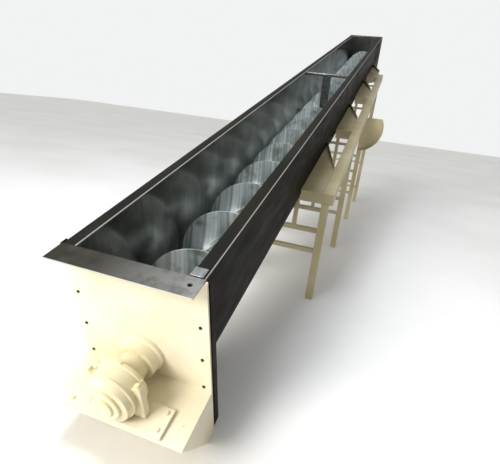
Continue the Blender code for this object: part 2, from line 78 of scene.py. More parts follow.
# %% Colour and node helpers
def linear(code):
    """An sRGB hex colour as linear RGBA."""
    parts = [int(code[i:i + 2], 16) / 255 for i in (1, 3, 5)]
    return (*[p / 12.92 if p < 0.04045 else ((p + 0.055) / 1.055) ** 2.4 for p in parts], 1.0)


def add_node(tree, kind, inputs=None, **settings):
    """Add a node with its settings, values and links."""
    made = tree.nodes.new(kind)
    for name, value in settings.items():
        setattr(made, name, value)
    for key, value in (inputs or {}).items():
        socket = made.inputs[key]
        if isinstance(value, bpy.types.NodeSocket):
            tree.links.new(value, socket)
        else:
            socket.default_value = value
    return made


def start_material(name):
    """A material with its tree, its shader and Object coordinates in the trough's frame."""
    material = bpy.data.materials.new(name)
    material.use_nodes = True
    tree = material.node_tree
    where = add_node(tree, "ShaderNodeTexCoord").outputs["Object"]
    turned = add_node(tree, "ShaderNodeMapping",
                      {"Vector": where, "Location": DRIVE_END, "Rotation": (INCLINE, 0, 0)},
                      vector_type="TEXTURE")
    return material, tree, tree.nodes["Principled BSDF"], turned.outputs["Vector"]


def noise(tree, where, size, stretch=(1, 1, 1), detail=4.0):
    """Cloudy noise whose blotches measure about size metres, stretched along the axes."""
    spread = add_node(tree, "ShaderNodeVectorMath", {0: where, 1: [1 / s for s in stretch]},
                      operation="MULTIPLY")
    made = add_node(tree, "ShaderNodeTexNoise",
                    {"Vector": spread.outputs[0], "Scale": 1 / size, "Detail": detail})
    return made.outputs["Fac"]


def blend_by(tree, factor, low, high, first, second):
    """Mix two colours where a pattern runs from low to high."""
    mask = add_node(tree, "ShaderNodeMapRange",
                    {"Value": factor, "From Min": low, "From Max": high})
    mixed = add_node(tree, "ShaderNodeMix", {"Factor": mask.outputs["Result"]}, data_type="RGBA")
    for key, colour in ((6, first), (7, second)):
        if isinstance(colour, str):
            mixed.inputs[key].default_value = linear(colour)
        else:
            tree.links.new(colour, mixed.inputs[key])
    return mixed.outputs[2]


def set_bump(tree, shader, height, depth):
    """Press a pattern into the surface, depth in metres."""
    bump = add_node(tree, "ShaderNodeBump", {"Height": height, "Distance": depth, "Strength": 1.0})
    tree.links.new(bump.outputs["Normal"], shader.inputs["Normal"])


def set_roughness(tree, shader, factor, low, high):
    """Let a pattern run the roughness from low to high."""
    spread = add_node(tree, "ShaderNodeMapRange",
                      {"Value": factor, "From Min": 0.3, "From Max": 0.7, "To Min": low, "To Max": high})
    tree.links.new(spread.outputs["Result"], shader.inputs["Roughness"])


# %% [markdown]
# The frame and the end plate are welded mild steel, sprayed with a cream alkyd enamel.
# Spray gives a soft satin gloss with a faint orange peel. Dust and oil make broad, warm
# clouds on it, and the colour is a little thinner where a run dried. The frame under the
# trough has the same enamel, with its colour painted darker and more yellow: painted shade
# for the dimmer light under and along the trough.

# %% Sprayed cream enamel on steel plate
def cream_enamel(name, grain, depth, light, shade):
    """Satin enamel; grain is the size of its texture, sprayed or cast."""
    material, tree, shader, where = start_material(name)
    clouds = noise(tree, where, 0.35, detail=6.0)
    tint = blend_by(tree, clouds, 0.35, 0.68, light, shade)
    specks = noise(tree, where, 0.012, detail=2.0)
    tree.links.new(blend_by(tree, specks, 0.74, 0.79, tint, "#8f7f5c"), shader.inputs["Base Color"])
    set_roughness(tree, shader, clouds, 0.34, 0.50)
    set_bump(tree, shader, noise(tree, where, grain), depth)
    return material


plate_enamel = cream_enamel("sprayed_cream_enamel", 0.006, 0.00012, "#ece4cc", "#ddd1b2")
cast_enamel = cream_enamel("cream_enamel_on_sand_casting", 0.004, 0.0006, "#eae1c4", "#d6caa4")
# painted shade: the frame's cream enamel, darkened and yellowed to stand in for the dimmer light on it
shaded_frame_enamel = cream_enamel("cream_enamel_darkened_as_painted_shade", 0.006, 0.00015, "#c3b893", "#ac9e78")
print("made", plate_enamel.name, cast_enamel.name, shaded_frame_enamel.name)

# %% [markdown]
# The trough is hot-rolled sheet. Outside it keeps its mill scale under a wipe of oil: almost
# black, with brown clouds and a dull sheen. Inside, the grain has polished it to a dark
# brushed grey that mirrors the screw's blades softly.

# %% Oiled mill scale and grain-polished steel
def oiled_mill_scale(name, dark, brown, low, high):
    """Hot-rolled steel with its scale on."""
    material, tree, shader, where = start_material(name)
    clouds = noise(tree, where, 0.22, (1, 3, 1), 7.0)
    tree.links.new(blend_by(tree, clouds, 0.38, 0.66, dark, brown), shader.inputs["Base Color"])
    shader.inputs["Metallic"].default_value = 0.05
    shader.inputs["Specular IOR Level"].default_value = 0.08
    set_roughness(tree, shader, noise(tree, where, 0.05, (1, 4, 1)), low, high)
    set_bump(tree, shader, noise(tree, where, 0.5, (1, 2, 1), 2.0), 0.003)
    return material


scale_steel = oiled_mill_scale("oiled_mill_scale", "#100f0d", "#241b15", 0.50, 0.66)
bar_steel = oiled_mill_scale("dark_rolled_bar", "#35342e", "#454336", 0.36, 0.52)

polished_inside, tree, shader, where = start_material("grain_polished_sheet")
streaks = noise(tree, where, 0.006, (8, 1, 30), 3.0)
patches = noise(tree, where, 0.18, (1, 1.4, 1), 4.0)
brushed = blend_by(tree, streaks, 0.35, 0.65, "#94948f", "#b0b0ab")
tree.links.new(blend_by(tree, patches, 0.40, 0.70, brushed, "#7e7c75"), shader.inputs["Base Color"])
shader.inputs["Metallic"].default_value = 1.0
set_roughness(tree, shader, patches, 0.16, 0.24)
set_bump(tree, shader, streaks, 0.00012)
print("made", scale_steel.name, bar_steel.name, polished_inside.name)

# %% [markdown]
# The blades are the brightest part: cold-rolled sheet that rubbing grain has burnished to a
# bluish white, with fine scratches that run outwards. A helical blade has its own
# directions, so its material reads an attribute that the blade's tree stores: the angle
# and the radius. The scratches are drawn 6 mm wide, or they wouldn't show at all. A film of
# fine grain dust scatters light on them, so the shader is only a little over half metal.

# %% Burnished blade and turned shaft
burnished_blade, tree, shader, where = start_material("burnished_blade")
polar = add_node(tree, "ShaderNodeAttribute", attribute_name="blade_polar").outputs["Vector"]
scratches = noise(tree, polar, 0.006, (1, 14, 1), 1.5)
stains = noise(tree, where, 0.09, detail=5.0)
sectors = noise(tree, polar, 0.09, (1, 5, 1), 0.5)
streaked = blend_by(tree, scratches, 0.25, 0.75, "#cfd8da", "#edf4f5")
polish = blend_by(tree, sectors, 0.34, 0.68, streaked, "#95a2a4")
tree.links.new(blend_by(tree, stains, 0.52, 0.74, polish, "#7d8681"), shader.inputs["Base Color"])
shader.inputs["Metallic"].default_value = 0.55
set_roughness(tree, shader, stains, 0.30, 0.44)
set_bump(tree, shader, scratches, 0.00008)


def plain_metal(name, light, dark, low, high, stretch=(1, 1, 1)):
    """Bare metal with cloudy tarnish, for shafts, bolts and flat bars."""
    material, tree, shader, where = start_material(name)
    tarnish = noise(tree, where, 0.03, stretch, 5.0)
    tree.links.new(blend_by(tree, tarnish, 0.38, 0.66, light, dark), shader.inputs["Base Color"])
    shader.inputs["Metallic"].default_value = 1.0
    set_roughness(tree, shader, tarnish, low, high)
    set_bump(tree, shader, noise(tree, where, 0.003, stretch), 0.0001)
    return material


tube_steel = plain_metal("rubbed_tube_steel", "#a9afae", "#6f736f", 0.30, 0.46, (1, 3, 1))
turned_steel = plain_metal("turned_shaft_steel", "#c2c6c6", "#8d9090", 0.18, 0.30)
zinc = plain_metal("zinc_plated_bolt", "#b9b7ab", "#7c786b", 0.30, 0.50)
print("made", burnished_blade.name, tube_steel.name, turned_steel.name, zinc.name)

# %% [markdown]
# Every mesh here goes the same way: it is built in the trough's frame or the level frame,
# moved into the world, cleaned, and then told what it rides on and what it replaces.
# Rolled and folded steel never has a knife edge, so most pieces get a small bevel.

# %% From a mesh to a finished piece
SMOOTH = math.radians(35)


def evaluated_mesh(carrier):
    """The plain mesh that an object's modifiers make."""
    bpy.context.view_layer.update()
    ready = carrier.evaluated_get(bpy.context.evaluated_depsgraph_get())
    return bpy.data.meshes.new_from_object(ready)


def thickened(mesh, materials, thickness, offset):
    """Give an open sheet its thickness; a second material goes on its inner side."""
    for material in materials:
        mesh.materials.append(material)
    carrier = bpy.data.objects.new("sheet", mesh)
    bpy.context.scene.collection.objects.link(carrier)
    wall = carrier.modifiers.new("sheet_thickness", "SOLIDIFY")
    wall.thickness = thickness
    wall.offset = offset
    wall.use_even_offset = True
    wall.material_offset = max(0, len(materials) - 1)
    made = evaluated_mesh(carrier)
    bpy.data.objects.remove(carrier)
    return made


def finish_piece(name, mesh_data, materials, place=TROUGH, body="conveyor", replaces=(),
                 bevel=0.0, sheet=0.0):
    """Put a bmesh in the world as a piece of the model."""
    bmesh.ops.remove_doubles(mesh_data, verts=mesh_data.verts, dist=1e-5)
    if not sheet:
        bmesh.ops.recalc_face_normals(mesh_data, faces=mesh_data.faces)
    bmesh.ops.transform(mesh_data, matrix=place, verts=mesh_data.verts)
    mesh = bpy.data.meshes.new(name)
    mesh_data.to_mesh(mesh)
    mesh_data.free()
    if sheet:
        mesh = thickened(mesh, materials, sheet, -1.0)
    return finish_object(name, mesh, materials, body, replaces, bevel)


def finish_object(name, mesh, materials, body="conveyor", replaces=(), bevel=0.0):
    """Turn a mesh that is in place into a piece."""
    if list(mesh.materials) != materials:
        mesh.materials.clear()
        for material in materials:
            mesh.materials.append(material)
    mesh.shade_smooth()
    mesh.set_sharp_from_angle(angle=SMOOTH)
    piece = bpy.data.objects.new(name, mesh)
    bpy.context.scene.collection.objects.link(piece)
    if bevel:
        rounding = piece.modifiers.new("rounded_edges", "BEVEL")
        rounding.width = bevel
        rounding.segments = 2
        rounding.limit_method = "ANGLE"
        rounding.angle_limit = SMOOTH
    if replaces:
        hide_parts(*replaces)
    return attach(piece, body)


def rounded_copy(node, material, bevel=0.0015, body="conveyor"):
    """A CAD node with its flat faces joined up again and its edges rounded."""
    mesh_data = bmesh.new()
    mesh_data.from_mesh(frame["nodes"][node].data)
    bmesh.ops.remove_doubles(mesh_data, verts=mesh_data.verts, dist=1e-5)
    bmesh.ops.dissolve_limit(mesh_data, angle_limit=math.radians(1), verts=mesh_data.verts,
                             edges=mesh_data.edges)
    mesh = bpy.data.meshes.new(node + "_dressed")
    mesh_data.to_mesh(mesh)
    mesh_data.free()
    return finish_object(node + "_dressed", mesh, [material], body, (node,), bevel)


def add_prism(mesh_data, outline, along, start, end):
    """Add an extruded outline: its pairs fill the two axes other than along."""
    others = [axis for axis in (0, 1, 2) if axis != along]
    rings = []
    for level in (start, end):
        ring = []
        for pair in outline:
            corner = [0.0, 0.0, 0.0]
            corner[others[0]], corner[others[1]], corner[along] = *pair, level
            ring.append(mesh_data.verts.new(corner))
        rings.append(ring)
    start_ring, end_ring = rings
    for place in range(len(outline)):
        mesh_data.faces.new((start_ring[place - 1], start_ring[place], end_ring[place], end_ring[place - 1]))
    mesh_data.faces.new(rings[0][::-1])
    mesh_data.faces.new(rings[1])
    return mesh_data


def add_turned(mesh_data, profile, sides=64, centre=(0, 0, 0)):
    """Spin (radius, y) pairs about the Y axis through centre."""
    verts = [mesh_data.verts.new((centre[0] + radius, centre[1] + y, centre[2]))
             for radius, y in profile]
    pairs = list(zip(verts, verts[1:]))
    if profile[0][0] > 0:
        pairs.append((verts[-1], verts[0]))
    edges = [mesh_data.edges.new(pair) for pair in pairs]
    bmesh.ops.spin(mesh_data, geom=verts + edges, cent=centre, axis=(0, 1, 0), angle=math.tau,
                   steps=sides, use_merge=True)
    return mesh_data


def arc(centre, radius, start, end, steps):
    """Points of an arc, from one angle in degrees to another."""
    turns = [math.radians(start + (end - start) * step / steps) for step in range(steps + 1)]
    return [(centre[0] + radius * math.cos(turn), centre[1] + radius * math.sin(turn)) for turn in turns]


# %% [markdown]
# The trough is one bent sheet per length, so it is drawn as an open sheet and Solidify gives
# it its 5 mm. Solidify can also give the inner side its own material, which is how
# one sheet is black outside and brushed inside. The last length has its outlet left open.

# %% The trough's three lengths
SHEET = 0.005
RADIUS = node_box("trough_section_1")[1].x
WALL_TOP = node_box("trough_section_1")[1].z
MOUTH_X = 0.175                 # half the outlet's width
MOUTH_Y = (6.285, 6.635)
MOUTH_ANGLE = math.degrees(math.acos(MOUTH_X / (RADIUS - SHEET)))


def sheet_profile():
    """The bent sheet's outer line, with points at the outlet's two edges."""
    walls = [0.08, 0.20, 0.31, WALL_TOP]
    bend = arc((0, 0), RADIUS, 0, -MOUTH_ANGLE, 12)
    bend += arc((0, 0), RADIUS, -MOUTH_ANGLE, MOUTH_ANGLE - 180, 36)[1:]
    bend += arc((0, 0), RADIUS, MOUTH_ANGLE - 180, -180, 12)[1:]
    return [(RADIUS, z) for z in walls[::-1]] + bend + [(-RADIUS, z) for z in walls]


def trough_length(number):
    """One length of trough."""
    name = f"trough_section_{number}"
    low, high = node_box(name)
    stations = [low.y + (high.y - low.y) * step / 8 for step in range(9)]
    if number == 3:
        stations = sorted(stations + list(MOUTH_Y))
    mesh_data = bmesh.new()
    rows = [[mesh_data.verts.new((x, y, z)) for x, z in sheet_profile()] for y in stations]
    for row, following, y in zip(rows, rows[1:], stations):
        for place in range(len(row) - 1):
            middle_x = abs(row[place].co.x + row[place + 1].co.x) / 2
            in_length = MOUTH_Y[0] <= y + 1e-6 < MOUTH_Y[1]
            in_mouth = in_length and middle_x < MOUTH_X and row[place].co.z < 0
            if not in_mouth:
                mesh_data.faces.new((row[place], row[place + 1],
                                     following[place + 1], following[place]))
    finish_piece(f"trough_sheet_{number}", mesh_data, [scale_steel, polished_inside],
                 replaces=(name,), sheet=SHEET)


for length in (1, 2, 3):
    trough_length(length)
print("three lengths of trough, outer radius", round(RADIUS, 4))

# %% [markdown]
# A rolled angle has a round root and rounded toes. Its outline is short, so the arcs are
# written out and the outline is pulled along the trough in one go. A pale grey band along
# the left angle's inner toe and the right angle's outer edge is a painted highlight, where
# those edges catch the light.

# %% Top angles
SLIT = 0.0003                   # parts that touch are kept this far apart


def angle_outline(low, high, sign):
    """A rolled angle: a flat leg outwards over the wall and one down its outside."""
    inner, outer = RADIUS - SHEET, max(abs(low.x), abs(high.x))
    toe = 0.0025
    root = 0.005
    flat_low = high.z - SHEET
    wall_x = RADIUS + SLIT
    outline = [(inner, flat_low), (inner, high.z - toe)]
    outline += arc((inner + toe, high.z - toe), toe, 180, 90, 4)
    outline += arc((outer - toe, high.z - toe), toe, 90, 0, 4)
    outline += [(outer, flat_low + 0.001), (outer - 0.001, flat_low)]
    outline += arc((wall_x + SHEET + root, flat_low - root), root, 90, 180, 4)
    outline += [(wall_x + SHEET, low.z + 0.001), (wall_x + SHEET - 0.001, low.z), (wall_x, low.z),
                (wall_x, flat_low)]
    return [(sign * x, z) for x, z in outline]


angle_with_painted_edge_highlight, tree, shader, where = start_material("rolled_angle_with_painted_edge_highlight")
across = add_node(tree, "ShaderNodeSeparateXYZ", {0: where}).outputs["X"]
grime = noise(tree, where, 0.12, (1, 4, 1), 6.0)
oily = blend_by(tree, grime, 0.42, 0.72, "#151410", "#232119")
# painted highlight: pale grey bands on the right angle's outer edge and the left angle's inner toe
right_edge_highlight = blend_by(tree, across, 0.2572, 0.2588, oily, "#b9b7ae")
left_edge_highlight = add_node(tree, "ShaderNodeMath", {0: across, 1: -0.2100, 2: 0.0026}, operation="COMPARE")
tree.links.new(blend_by(tree, left_edge_highlight.outputs[0], 0.0, 1.0, right_edge_highlight, "#b9b7ae"),
               shader.inputs["Base Color"])
shader.inputs["Metallic"].default_value = 0.1
shader.inputs["Specular IOR Level"].default_value = 0.12
set_roughness(tree, shader, grime, 0.42, 0.60)
set_bump(tree, shader, noise(tree, where, 0.01), 0.0002)
for side, sign in (("right", 1), ("left", -1)):
    low, high = node_box(f"top_angle_{side}")
    rim = add_prism(bmesh.new(), angle_outline(low, high, sign), 1, low.y, high.y)
    finish_piece(f"rolled_angle_{side}", rim, [angle_with_painted_edge_highlight], replaces=(f"top_angle_{side}",))
print("two top angles")

# %% [markdown]
# A screw blade follows a rule: each point's angle grows with its distance along the shaft.
# Geometry Nodes write that rule down directly. A flat grid is bent into a helix with a few
# maths nodes, its angle and radius are stored for the material, and Solidify thickens it.

# %% The tree for a helical blade
BLADE_TOP_Y = 0.394             # where the first turn passes over the shaft
PITCH = 0.351
BLADE_T = 0.005
BLADE_R = 0.1975
BLADE_ROOT_R = 0.0543
STEPS_A_TURN = 72


def start_tree(name, sizes, count):
    """A tree with a mesh in and out, named sizes, one named whole number and a finish."""
    tree = bpy.data.node_groups.new(name, "GeometryNodeTree")
    tree.interface.new_socket("Geometry", in_out="INPUT", socket_type="NodeSocketGeometry")
    for label in sizes:
        tree.interface.new_socket(label, in_out="INPUT", socket_type="NodeSocketFloat")
    tree.interface.new_socket(count, in_out="INPUT", socket_type="NodeSocketInt")
    tree.interface.new_socket("Finish", in_out="INPUT", socket_type="NodeSocketMaterial")
    tree.interface.new_socket("Geometry", in_out="OUTPUT", socket_type="NodeSocketGeometry")
    return tree, add_node(tree, "NodeGroupInput").outputs


def end_tree(tree, shape, finish):
    """Make instances real, give them their finish and send them out."""
    real = add_node(tree, "GeometryNodeRealizeInstances", {0: shape})
    done = add_node(tree, "GeometryNodeSetMaterial", {"Geometry": real.outputs[0], "Material": finish})
    add_node(tree, "NodeGroupOutput", {0: done.outputs[0]})
    return tree


def helix_tree():
    """Bend a grid into a helical blade about the Y axis."""
    tree, given = start_tree("helical_blade", ("Pitch", "Inner radius", "Outer radius", "Start angle",
                                               "Start", "Turns"), "Steps")

    def maths(operation, first, second=0.0):
        return add_node(tree, "ShaderNodeMath", {0: first, 1: second}, operation=operation).outputs[0]

    grid = add_node(tree, "GeometryNodeMeshGrid",
                    {"Size X": 1.0, "Size Y": 1.0, "Vertices X": given["Steps"], "Vertices Y": 7})
    place = add_node(tree, "GeometryNodeInputPosition").outputs[0]
    flat = add_node(tree, "ShaderNodeSeparateXYZ", {0: place}).outputs
    turned = maths("MULTIPLY", maths("ADD", flat["X"], 0.5), given["Turns"])
    depth = maths("SUBTRACT", given["Outer radius"], given["Inner radius"])
    radius = maths("MULTIPLY_ADD", maths("ADD", flat["Y"], 0.5), depth)
    radius.node.inputs[2].default_value = 0.0
    tree.links.new(given["Inner radius"], radius.node.inputs[2])
    angle = maths("ADD", maths("MULTIPLY", turned, math.tau), given["Start angle"])
    along = maths("ADD", maths("MULTIPLY", turned, given["Pitch"]), given["Start"])
    bent = add_node(tree, "ShaderNodeCombineXYZ",
                    {"X": maths("MULTIPLY", radius, maths("SINE", angle)), "Y": along,
                     "Z": maths("MULTIPLY", radius, maths("COSINE", angle))})
    moved = add_node(tree, "GeometryNodeSetPosition",
                     {"Geometry": grid.outputs["Mesh"], "Position": bent.outputs[0]})
    around = maths("MULTIPLY", angle, given["Outer radius"])
    polar = add_node(tree, "ShaderNodeCombineXYZ", {"X": around, "Y": radius})
    kept = add_node(tree, "GeometryNodeStoreNamedAttribute",
                    {"Geometry": moved.outputs[0], "Name": "blade_polar"}, data_type="FLOAT_VECTOR")
    tree.links.new(polar.outputs[0], kept.inputs["Value"])
    return end_tree(tree, kept.outputs[0], given["Finish"])


def run_tree(name, tree, values, start_mesh=None):
    """Run a tree on an object and return the plain mesh that it makes."""
    mesh = start_mesh or bpy.data.meshes.new(name + "_start")
    carrier = bpy.data.objects.new(name + "_carrier", mesh)
    bpy.context.scene.collection.objects.link(carrier)
    modifier = carrier.modifiers.new("tree", "NODES")
    modifier.node_group = tree
    for item in tree.interface.items_tree:
        if item.in_out == "INPUT" and item.name in values:
            modifier[item.identifier] = values[item.name]
    carrier.update_tag()
    made = evaluated_mesh(carrier)
    bpy.data.objects.remove(carrier)
    return made


# %% [markdown]
# The screw is made in four lengths of blade on two tubes. Each length is a piece of its own
# that turns with the screw, so all of it rides on the body named screw.

# %% Blades, tubes and journals
blade_tree = helix_tree()
for number in (1, 2, 3, 4):
    low, high = node_box(f"screw_flight_{number}")
    start, end = low.y + BLADE_T / 2, high.y - BLADE_T / 2
    turns = (end - start) / PITCH
    mesh = run_tree(f"blade_{number}", blade_tree, {
        "Pitch": PITCH, "Inner radius": BLADE_ROOT_R, "Outer radius": BLADE_R, "Start": start,
        "Turns": turns, "Start angle": math.tau * (start - BLADE_TOP_Y) / PITCH,
        "Steps": int(turns * STEPS_A_TURN) + 1, "Finish": burnished_blade})
    mesh.transform(TROUGH)
    mesh = thickened(mesh, [], BLADE_T, 0.0)
    finish_object(f"blade_{number}", mesh, [burnished_blade], "screw",
                  (f"screw_flight_{number}",))

TUBE_WALL = 0.008
for number in (1, 2):
    name = f"screw_tube_{number}"
    low, high = node_box(name)
    inner = high.x - TUBE_WALL
    tube = add_turned(bmesh.new(), [(inner, low.y), (high.x, low.y), (high.x, high.y), (inner, high.y)])
    finish_piece(f"screw_pipe_{number}", tube, [tube_steel], body="screw", replaces=(name,))
for name in ("drive_journal", "tail_journal", "coupling_shaft"):
    rounded_copy(name, turned_steel, 0.001, "screw")
print("four blades, two tubes and three journals")

# %% [markdown]
# Bolts repeat, so one tree makes them all: a washer and a hexagon head with a domed top are
# put on every point, turned to face the way that the point's attribute says, and given a
# random spin from a fixed seed, because nobody lines up bolt heads.

# %% The tree for bolts
CROWN_SHARE = 0.8               # of the head's radius
CROWN_T = 0.0008


def aimed(tree):
    """A turn that points the Z axis the way that each point's attribute facing says."""
    facing = add_node(tree, "GeometryNodeInputNamedAttribute", {"Name": "facing"},
                      data_type="FLOAT_VECTOR")
    return add_node(tree, "FunctionNodeAlignEulerToVector", {"Vector": facing.outputs[0]},
                    axis="Z").outputs[0]


def bolt_tree():
    """A washer and hexagon head on each point of a mesh."""
    tree, given = start_tree("hexagon_bolts", ("Head radius", "Head height", "Washer radius",
                                               "Washer height"), "Seed")

    def disc(sides, radius, height, base):
        shape = add_node(tree, "GeometryNodeMeshCylinder",
                         {"Vertices": sides, "Radius": radius, "Depth": height})
        half = add_node(tree, "ShaderNodeMath", {0: height, 1: 0.5, 2: base}, operation="MULTIPLY_ADD")
        lift = add_node(tree, "ShaderNodeCombineXYZ", {"Z": half.outputs[0]})
        return add_node(tree, "GeometryNodeTransform",
                        {"Geometry": shape.outputs["Mesh"], "Translation": lift.outputs[0]}).outputs[0]

    washer = disc(24, given["Washer radius"], given["Washer height"], 0.0)
    head = disc(6, given["Head radius"], given["Head height"], given["Washer height"])
    crown_r = add_node(tree, "ShaderNodeMath", {0: given["Head radius"], 1: CROWN_SHARE},
                       operation="MULTIPLY")
    stack = add_node(tree, "ShaderNodeMath", {0: given["Washer height"], 1: given["Head height"]},
                     operation="ADD")
    crown = disc(18, crown_r.outputs[0], CROWN_T, stack.outputs[0])
    bolt = add_node(tree, "GeometryNodeJoinGeometry")
    for shape in (washer, head, crown):
        tree.links.new(shape, bolt.inputs[0])
    aim = aimed(tree)
    spin = add_node(tree, "FunctionNodeRandomValue", {"Seed": given["Seed"]}, data_type="FLOAT")
    spin.inputs[3].default_value = math.tau
    twist = add_node(tree, "ShaderNodeCombineXYZ", {"Z": spin.outputs[1]})
    turned = add_node(tree, "FunctionNodeRotateEuler", {0: aim, 1: twist.outputs[0]}, space="LOCAL")
    spread = add_node(tree, "GeometryNodeInstanceOnPoints", {
        "Points": given["Geometry"], "Instance": bolt.outputs[0], "Rotation": turned.outputs[0]})
    return end_tree(tree, spread.outputs[0], given["Finish"])


def point_mesh(name, rows):
    """A mesh of loose points, each with the direction that its bolt or bead faces."""
    mesh = bpy.data.meshes.new(name)
    mesh.from_pydata([row[0] for row in rows], [], [])
    facing = mesh.attributes.new("facing", "FLOAT_VECTOR", "POINT")
    for index, row in enumerate(rows):
        facing.data[index].vector = row[1]
    return mesh


BOLTS = bolt_tree()


def bolts(name, rows, size, material, place=TROUGH, seed=1):
    """Hexagon bolts of a thread size in metres at (place, facing) rows."""
    mesh = run_tree(name, BOLTS, {"Head radius": size * 0.95, "Head height": size * 0.62,
                                  "Washer radius": size * 1.12, "Washer height": size * 0.16,
                                  "Seed": seed, "Finish": material},
                    point_mesh(name + "_points", rows))
    mesh.transform(place)
    finish_object(name, mesh, [material])
    print(len(rows), "bolts in", name)


def circle_of_bolts(centre, radius, count, facing, first=0.0):
    """Rows for bolts on a circle square to the screw."""
    rows = []
    for place in range(count):
        angle = first + math.tau * place / count
        x, z = radius * math.sin(angle), radius * math.cos(angle)
        rows.append(((centre[0] + x, centre[1], centre[2] + z), facing))
    return rows


# %% [markdown]
# A weld bead is a row of overlapping ripples. A second tree sets a flattened ball on every
# point of a path and turns it along the path, so a seam is a list of points a few
# millimetres apart.

# %% The tree for weld beads
def bead_tree():
    """A ripple on each point, squashed along the direction it faces."""
    tree, given = start_tree("weld_ripples", ("Width", "Length"), "Seed")
    ball = add_node(tree, "GeometryNodeMeshUVSphere", {"Segments": 8, "Rings": 5, "Radius": 0.5})
    size = add_node(tree, "ShaderNodeCombineXYZ", {"X": given["Width"], "Y": given["Width"],
                                                   "Z": given["Length"]})
    ripple = add_node(tree, "GeometryNodeTransform",
                      {"Geometry": ball.outputs["Mesh"], "Scale": size.outputs[0]})
    aim = aimed(tree)
    swell = add_node(tree, "FunctionNodeRandomValue", {"Seed": given["Seed"]}, data_type="FLOAT")
    swell.inputs[2].default_value = 0.85
    swell.inputs[3].default_value = 1.15
    spread = add_node(tree, "GeometryNodeInstanceOnPoints", {
        "Points": given["Geometry"], "Instance": ripple.outputs[0], "Rotation": aim,
        "Scale": swell.outputs[1]})
    return end_tree(tree, spread.outputs[0], given["Finish"])


BEADS = bead_tree()


def seam(points, step=0.007):
    """Rows for ripples along a chain of points, every step metres."""
    rows = []
    for start, end in zip(points, points[1:]):
        start, end = Vector(start), Vector(end)
        count = max(1, round((end - start).length / step))
        along = (end - start).normalized()
        rows += [(start.lerp(end, (k + 0.5) / count), along) for k in range(count)]
    return rows


def beads(name, rows, width, material, place=TROUGH, body="conveyor"):
    """Weld ripples along the rows that seam gives."""
    mesh = run_tree(name, BEADS, {"Width": width, "Length": 0.011, "Seed": 7, "Finish": material},
                    point_mesh(name + "_points", rows))
    mesh.transform(place)
    finish_object(name, mesh, [material], body)
    print(len(rows), "ripples in", name)


# %% [markdown]
# The drive end is a cream plate bolted to the trough's end frame. A shelf with two knees
# carries the gear unit. These are sheared plates, so rounded copies of the CAD nodes are
# right for them, with bolts and weld beads added where the real ones have them.

# %% Drive plate, shelf and knees
for name in ("drive_end_plate", "drive_shelf", "shelf_knee_left", "shelf_knee_right",
             "gear_base_plate"):
    rounded_copy(name, plate_enamel)
rounded_copy("near_end_frame", scale_steel, 0.001)
FRONT = (0, -1, 0)
UP = (0, 0, 1)
PLATE_Y = node_box("drive_end_plate")[0].y
PLATE_BOLT_X = 0.240
PLATE_BOLT_Z = (0.214, 0.060, -0.084)
plate_rows = [((sign * PLATE_BOLT_X, PLATE_Y, z), FRONT) for sign in (1, -1) for z in PLATE_BOLT_Z]
bolts("drive_plate_bolts", plate_rows, 0.0055, bar_steel)
SHELF_TOP = node_box("drive_shelf")[1].z
SHELF_SEAM_X = 0.26
shelf_seam = [(x, PLATE_Y - 0.001, SHELF_TOP) for x in (-SHELF_SEAM_X, SHELF_SEAM_X)]
beads("shelf_weld", seam(shelf_seam), 0.006, plate_enamel)

# %% [markdown]
# The flat bar over the drive end is dark rolled steel with a hole near its right-hand end.
# Its colour runs paler towards that end, and its front edge is a pale bare-steel grey.
# The hole is left open between the two halves of the outline, and a dark steel disc below
# it is painted shade, so the hole looks dark inside.

# %% Bars over the two ends
cover_bar, tree, shader, where = start_material("cover_bar_paler_to_the_right")
flat = add_node(tree, "ShaderNodeSeparateXYZ", {0: where}).outputs
grime = noise(tree, where, 0.05, detail=5.0)
# the colour runs paler towards the right-hand end; the front edge below is a pale bare-steel grey
paler_to_right = blend_by(tree, flat["X"], -0.10, 0.28, "#2c291e", "#868682")
dusty = blend_by(tree, grime, 0.45, 0.75, paler_to_right, "#3a382f")
tree.links.new(blend_by(tree, flat["Y"], -0.0865, -0.0895, dusty, "#c9c7bd"),
               shader.inputs["Base Color"])
shader.inputs["Metallic"].default_value = 0.5
set_roughness(tree, shader, grime, 0.36, 0.5)
set_bump(tree, shader, noise(tree, where, 0.006), 0.0003)
low, high = node_box("near_top_bar")
HOLE = (0.229, -0.038)
HOLE_R = 0.008
bar = bmesh.new()
front_half = [(low.x, HOLE[1]), (low.x, low.y), (high.x, low.y), (high.x, HOLE[1])]
add_prism(bar, front_half + arc(HOLE, HOLE_R, 0, -180, 10), 2, low.z, high.z)
back_half = [(high.x, HOLE[1]), (high.x, high.y), (low.x, high.y), (low.x, HOLE[1])]
add_prism(bar, back_half + arc(HOLE, HOLE_R, 180, 0, 10), 2, low.z, high.z)
bmesh.ops.remove_doubles(bar, verts=bar.verts, dist=1e-5)
split = [face for face in bar.faces
         if all(abs(vert.co.y - HOLE[1]) < 1e-6 for vert in face.verts)]
bmesh.ops.delete(bar, geom=split, context="FACES_ONLY")
finish_piece("near_cover_bar", bar, [cover_bar], replaces=("near_top_bar",))
